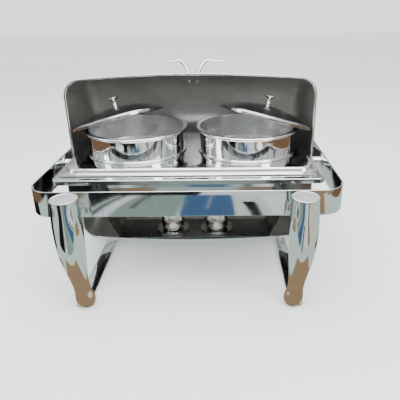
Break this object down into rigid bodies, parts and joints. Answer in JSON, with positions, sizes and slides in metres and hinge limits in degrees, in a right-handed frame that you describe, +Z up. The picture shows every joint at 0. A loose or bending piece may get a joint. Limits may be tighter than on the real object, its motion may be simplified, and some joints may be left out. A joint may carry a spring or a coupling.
{
  "type": "roll top chafer",
  "caption": "Rectangular buffet warmer with a half-drum cover rolling in a ring frame, soup pots with lids in a plate over a water pan, and fuel burners on a hung shelf.",
  "frame": {"origin": "centre of the footprint, on the surface that the feet stand on", "axes": "+Z up, the front with the open cover's hollow faces -Y, +X to the right as seen from the front"},
  "size_m": [0.6726, 0.5904, 0.4781],
  "materials": {
    "mirror_steel": "mirror-polished stainless steel",
    "satin_steel": "satin stainless steel",
    "dark_steel": "mill-finish stainless steel",
    "black_plastic": "black moulded pad",
    "white_nylon": "natural nylon"
  },
  "bodies": {
    "stand": {"bracket_screw_left_1": "mirror_steel", "bracket_screw_left_2": "mirror_steel", "bracket_screw_right_1": "mirror_steel", "bracket_screw_right_2": "mirror_steel", "burner_saucer_left": "mirror_steel", "burner_saucer_right": "mirror_steel", "end_bracket_left": "dark_steel", "end_bracket_right": "dark_steel", "foot_glide_front_left": "black_plastic", "foot_glide_front_right": "black_plastic", "foot_glide_rear_left": "black_plastic", "foot_glide_rear_right": "black_plastic", "fuel_shelf": "dark_steel", "leg_bolt_front_left": "mirror_steel", "leg_bolt_front_right": "mirror_steel", "leg_bolt_rear_left": "mirror_steel", "leg_bolt_rear_right": "mirror_steel", "leg_cap_front_left": "mirror_steel", "leg_cap_front_right": "mirror_steel", "leg_cap_rear_left": "mirror_steel", "leg_cap_rear_right": "mirror_steel", "leg_front_left": "mirror_steel", "leg_front_right": "mirror_steel", "leg_rear_left": "mirror_steel", "leg_rear_right": "mirror_steel", "pivot_bolt_left": "mirror_steel", "pivot_bolt_right": "mirror_steel", "pivot_drum_left": "mirror_steel", "pivot_drum_right": "mirror_steel", "pivot_nut_left": "mirror_steel", "pivot_nut_right": "mirror_steel", "pivot_spacer_left": "white_nylon", "pivot_spacer_right": "white_nylon", "pivot_washer_left": "white_nylon", "pivot_washer_right": "white_nylon", "ring_band": "mirror_steel", "runner_left": "mirror_steel", "runner_right": "mirror_steel", "top_frame": "mirror_steel"},
    "cover": {"cover_shell": "satin_steel", "cover_rim": "mirror_steel", "handle_base": "mirror_steel", "handle_horn_left": "mirror_steel", "handle_horn_right": "mirror_steel", "handle_screw_left": "mirror_steel", "handle_screw_right": "mirror_steel"},
    "water_pan": {"water_pan": "satin_steel"},
    "adaptor_plate": {"adaptor_plate": "mirror_steel"},
    "pot_left": {"pot_left": "mirror_steel"},
    "lid_left": {"pot_lid_left": "mirror_steel", "lid_knob_left": "mirror_steel"},
    "burner_left": {"burner_cup_left": "mirror_steel"},
    "snuffer_left": {"burner_snuffer_left": "mirror_steel"},
    "pot_right": {"pot_right": "mirror_steel"},
    "lid_right": {"pot_lid_right": "mirror_steel", "lid_knob_right": "mirror_steel"},
    "burner_right": {"burner_cup_right": "mirror_steel"},
    "snuffer_right": {"burner_snuffer_right": "mirror_steel"}
  },
  "joints": [
    {"name": "cover_roll", "type": "hinge", "parent": "stand", "child": "cover", "pos_m": [0, 0, 0.2412], "axis": [-1, 0, 0], "range_deg": [-90, 44]},
    {"name": "water_pan_lift", "type": "slide", "parent": "stand", "child": "water_pan", "axis": [0, 0, 1], "range_m": [0, 0.018]},
    {"name": "adaptor_plate_lift", "type": "slide", "parent": "water_pan", "child": "adaptor_plate", "axis": [0, 0, 1], "range_m": [0, 0.018]},
    {"name": "pot_left_lift", "type": "slide", "parent": "adaptor_plate", "child": "pot_left", "axis": [0, 0, 1], "range_m": [0, 0.018]},
    {"name": "lid_left_lift", "type": "slide", "parent": "pot_left", "child": "lid_left", "axis": [0.2075, -0.6917, 0.6917], "range_m": [0, 0.035]},
    {"name": "burner_left_lift", "type": "slide", "parent": "stand", "child": "burner_left", "axis": [0, 0, 1], "range_m": [0, 0.025]},
    {"name": "snuffer_left_lift", "type": "slide", "parent": "burner_left", "child": "snuffer_left", "axis": [0, 0, 1], "range_m": [0, 0.02]},
    {"name": "pot_right_lift", "type": "slide", "parent": "adaptor_plate", "child": "pot_right", "axis": [0, 0, 1], "range_m": [0, 0.018]},
    {"name": "lid_right_lift", "type": "slide", "parent": "pot_right", "child": "lid_right", "axis": [-0.2075, -0.6917, 0.6917], "range_m": [0, 0.035]},
    {"name": "burner_right_lift", "type": "slide", "parent": "stand", "child": "burner_right", "axis": [0, 0, 1], "range_m": [0, 0.025]},
    {"name": "snuffer_right_lift", "type": "slide", "parent": "burner_right", "child": "snuffer_right", "axis": [0, 0, 1], "range_m": [0, 0.02]}
  ]
}
